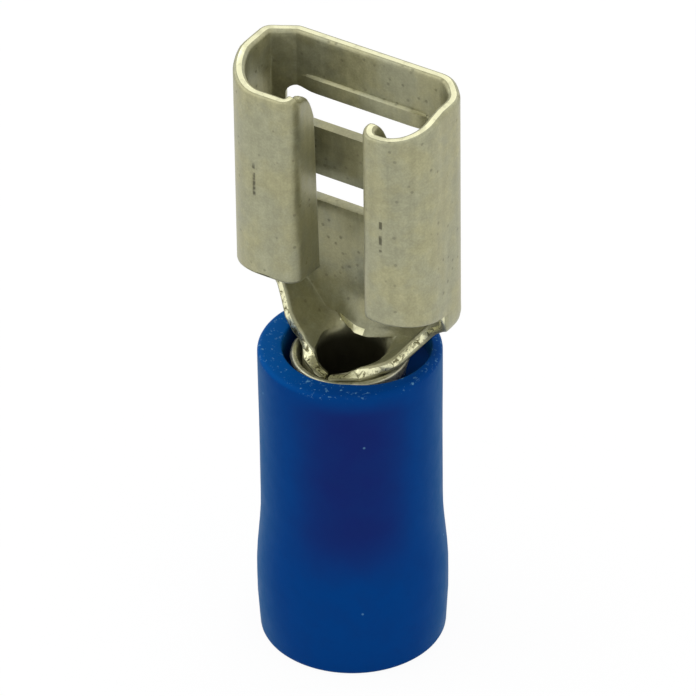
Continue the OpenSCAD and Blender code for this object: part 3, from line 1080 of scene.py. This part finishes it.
def make_cut_metal(name, base, dark, scale, rough):
    """Sheared edge, which also paints the highlights on the strip's step and the stop's lip:
    brighter metal with streaks, or torn metal with dark pits.
    """
    graph, shader, place = material(name)
    streaks = graph.noise(place, scale, 3.0, 0.6, distortion=rough)
    tone = graph.mix(graph.ramp(streaks, 0.34, 0.52), rgba(dark), rgba(base))
    graph.put(shader["Base Color"], tone)
    graph.put(shader["Roughness"], graph.ramp(streaks, 0.3, 0.7, 0.42, 0.26))
    graph.put(shader["Normal"], bump(graph, streaks, 0.2 + 0.7 * rough, 0.00003))
    shader["Metallic"].default_value = 0.9


def make_vinyl(s):
    """Blue vinyl, darker over the metal, with a painted sheen at low angles, painted paler light
    on the left of the upper ring, rubbed on the upper ring, with a few dots.
    """
    graph, shader, place = material("sleeve_vinyl")
    x, _, up = graph.split(place)
    low_angle = graph.add("ShaderNodeLayerWeight")
    low_angle.inputs["Blend"].default_value = 0.5
    facing = low_angle.outputs["Facing"]
    clouds = graph.noise(place, 500.0, 3.0, 0.5)
    drift = graph.math("MULTIPLY_ADD", clouds, 1.2 * MM, up)
    uneven = graph.math("MULTIPLY_ADD", clouds, 0.16, facing)
    behind = graph.times(
        graph.ramp(drift, 3.8 * MM, 6.4 * MM), graph.ramp(up, 11.0 * MM, 10.2 * MM),
        graph.ramp(uneven, 0.54, 0.22),
    )
    tone = graph.mix(behind, rgba(s.vinyl), rgba(s.vinyl_dark))
    mottle = graph.noise(place, 1500.0, 3.0, 0.6)
    tone = graph.mix(graph.ramp(mottle, 0.35, 0.75, 0.0, 0.18), tone, rgba((0.006, 0.03, 0.15)))
    # Painted sheen: the colour turns lighter blue toward low angles, standing in for reflected
    # light at the sleeve's sides.
    tone = graph.mix(graph.times(graph.ramp(facing, 0.40, 1.0), 0.9), tone, rgba(s.painted_sheen))
    # Painted light: the left of the upper ring is mixed toward a paler blue, standing in for the
    # lamp's light falling there.
    ring = graph.times(
        graph.ramp(up, 10.9 * MM, 11.05 * MM), 0.75, graph.ramp(x, 1.5 * MM, -2.5 * MM)
    )
    tone = graph.mix(ring, tone, rgba(s.painted_ring_light))
    fine = graph.noise(place, 6000.0, 4.0, 0.7)
    rub = graph.times(
        graph.ramp(up, 10.85 * MM, 11.05 * MM), graph.ramp(fine, 0.58, 0.70), 0.45
    )
    dots = graph.times(graph.dots(place, 900.0, (0.05, 0.025), (0.7, 0.72)), 0.3)
    graph.put(shader["Base Color"], graph.mix(graph.largest(rub, dots), tone, rgba(s.scuff)))
    graph.put(shader["Roughness"], graph.ramp(mottle, 0.3, 0.7, 0.40, 0.50))
    height = graph.math("ADD", graph.times(mottle, 0.6), graph.times(fine, 0.3))
    graph.put(shader["Normal"], bump(graph, height, 0.25, 0.00004))
    shader["IOR"].default_value = 1.5
    shader["Specular IOR Level"].default_value = 0.015


def make_materials(sheet, support, sleeve):
    make_plating_group()
    plated("plated_sheet", sheet.plating, sheet.plating_cool, 0.42, 0.45)
    # The support's plating is painted lighter than the sheet's, to stand in for light it does
    # not get in the mouth's shade.
    plated("plated_support_painted_lighter", support.plating, sheet.plating_cool, 0.3, 0.3)
    make_cut_metal("cut_and_highlight_sheet", sheet.cut_edge_and_highlight, [0.8 * c for c in sheet.cut_edge_and_highlight], 3000.0, 0.0)
    make_cut_metal("torn_sheet", sheet.cut_edge_and_highlight, sheet.torn_edge, 5200.0, 0.8)
    make_vinyl(sleeve)


# --- stage ---


LAMPS = (  # name, place and size in m, power in W
    ("key_lamp", (-0.26, -0.10, 0.34), 0.36, 0.32),
    ("right_lamp", (0.40, -0.05, 0.20), 0.30, 0.10),
    ("back_lamp", (0.0, 0.42, 0.24), 0.30, 0.16),
)


def make_camera(s):
    target = Vector((0, 0, SLEEVE_BOX[1].z))
    a, e = s.azimuth, s.elevation
    back = Vector((math.sin(a) * math.cos(e), -math.cos(a) * math.cos(e), math.sin(e)))
    data = bpy.data.cameras.new("camera")
    camera = bpy.data.objects.new("camera", data)
    bpy.context.scene.collection.objects.link(camera)
    turn = (-back).to_track_quat("-Z", "Y").to_matrix().to_4x4()
    camera.matrix_world = (
        Matrix.Translation(target + back * s.distance) @ turn @ Matrix.Rotation(-s.roll, 4, "Z")
    )
    data.lens = s.focal
    data.sensor_width = 36.0
    data.shift_x, data.shift_y = -0.0027, -0.0053  # moves the terminal to its place in view
    data.clip_start, data.clip_end = 0.02, 20.0
    bpy.context.scene.camera = camera


def make_light(name, place, size, power):
    """A round lamp that shines on the middle of the terminal."""
    data = bpy.data.lights.new(name, "AREA")
    data.shape = "DISK"
    data.size = size
    data.energy = power
    lamp = bpy.data.objects.new(name, data)
    lamp.location = place
    way = Vector((0, 0, 12 * MM)) - Vector(place)
    lamp.rotation_euler = way.to_track_quat("-Z", "Y").to_euler()
    bpy.context.scene.collection.objects.link(lamp)


def seen_directly(graph):
    """1 for rays from the camera, reflections and see-through surfaces, 0 for the light."""
    path = graph.add("ShaderNodeLightPath").outputs
    rays = ("Is Camera Ray", "Is Glossy Ray", "Is Transmission Ray")
    return graph.largest(*[path[ray] for ray in rays])


def make_world():
    world = bpy.data.worlds.new("studio")
    bpy.context.scene.world = world
    world.use_nodes = True
    graph = Graph(world.node_tree)
    output = graph.add("ShaderNodeOutputWorld")
    sky = graph.add("ShaderNodeBackground")
    sky.inputs["Color"].default_value = (1, 1, 1, 1)
    strength = graph.math("MULTIPLY_ADD", seen_directly(graph), 0.18, 0.82)
    graph.put(sky.inputs["Strength"], strength)
    graph.put(output.inputs["Surface"], sky.outputs[0])


def make_floor(s):
    bpy.ops.object.select_all(action="DESELECT")
    bpy.ops.mesh.primitive_plane_add(size=6.0, location=(0, 0, CAD_BOX[0].z - 0.00001))
    floor = bpy.context.object
    floor.name = "floor"
    made = bpy.data.materials.new("pale_floor")
    made.use_nodes = True
    graph = Graph(made.node_tree)
    output = graph.add("ShaderNodeOutputMaterial")
    plain = graph.add("ShaderNodeBsdfDiffuse")
    plain.inputs["Color"].default_value = rgba(s.floor)
    white = graph.add("ShaderNodeEmission")
    white.inputs["Strength"].default_value = 1.02
    both = graph.add("ShaderNodeMixShader")
    seen = graph.times(seen_directly(graph), 0.92)
    graph.fill(both.inputs, (seen, plain.outputs[0], white.outputs[0]))
    graph.put(output.inputs["Surface"], both.outputs[0])
    floor.data.materials.append(made)
    bpy.ops.object.select_all(action="DESELECT")


def make_stage(settings):
    make_camera(settings)
    make_world()
    make_floor(settings)
    for lamp in LAMPS:
        make_light(*lamp)
    bpy.context.scene.view_settings.view_transform = "Standard"


# --- add-on ---


class TERMINAL_OT_materials(bpy.types.Operator):
    """Makes the plating, cut metal and vinyl"""

    bl_idname = "terminal.materials"
    bl_label = "Materials"

    def execute(self, context):
        scene = context.scene
        make_materials(scene.terminal_sheet, scene.terminal_support, scene.terminal_sleeve)
        return {"FINISHED"}


class TERMINAL_OT_sheet(bpy.types.Operator):
    """Draws the folded receptacle, the neck and the barrel as one sheet"""

    bl_idname = "terminal.sheet"
    bl_label = "Folded sheet"

    def execute(self, context):
        make_sheet(context.scene.terminal_sheet)
        return {"FINISHED"}


class TERMINAL_OT_support(bpy.types.Operator):
    """Spins the support sleeve with its belled rim"""

    bl_idname = "terminal.support"
    bl_label = "Support sleeve"

    def execute(self, context):
        make_support(context.scene.terminal_support)
        return {"FINISHED"}


class TERMINAL_OT_sleeve(bpy.types.Operator):
    """Spins the vinyl sleeve and stretches its mouth"""

    bl_idname = "terminal.sleeve"
    bl_label = "Vinyl sleeve"

    def execute(self, context):
        make_sleeve(context.scene.terminal_sleeve)
        return {"FINISHED"}


class TERMINAL_OT_stage(bpy.types.Operator):
    """Sets up the camera, the lamps, the world and the floor"""

    bl_idname = "terminal.stage"
    bl_label = "Stage"

    def execute(self, context):
        make_stage(context.scene.terminal_stage)
        return {"FINISHED"}


class TERMINAL_PT_panel(bpy.types.Panel):
    """Lists the terminal's pieces and their settings"""

    bl_idname = "TERMINAL_PT_panel"
    bl_label = "Spade terminal"
    bl_space_type = "VIEW_3D"
    bl_region_type = "UI"
    bl_category = "Terminal"

    def draw(self, context):
        for name, operator in STEPS:
            box = self.layout.box()
            box.operator(operator)
            if name:
                settings = getattr(context.scene, name)
                for key in settings.bl_rna.properties.keys():
                    if key not in ("rna_type", "name"):
                        box.prop(settings, key)


STEPS = (
    (None, "terminal.materials"),
    ("terminal_stage", "terminal.stage"),
    ("terminal_sheet", "terminal.sheet"),
    ("terminal_support", "terminal.support"),
    ("terminal_sleeve", "terminal.sleeve"),
)
SETTINGS = {
    "terminal_sheet": SheetSettings,
    "terminal_support": SupportSettings,
    "terminal_sleeve": SleeveSettings,
    "terminal_stage": StageSettings,
}
CLASSES = (
    *SETTINGS.values(), TERMINAL_OT_materials, TERMINAL_OT_sheet, TERMINAL_OT_support,
    TERMINAL_OT_sleeve, TERMINAL_OT_stage, TERMINAL_PT_panel,
)


def register():
    for cls in CLASSES:
        bpy.utils.register_class(cls)
    for name, cls in SETTINGS.items():
        setattr(bpy.types.Scene, name, PointerProperty(type=cls))


def unregister():
    for name in SETTINGS:
        delattr(bpy.types.Scene, name)
    for cls in reversed(CLASSES):
        bpy.utils.unregister_class(cls)


def main():
    register()
    for _, operator in STEPS:
        group, name = operator.split(".")
        getattr(getattr(bpy.ops, group), name)()


if __name__ == "__main__":
    main()
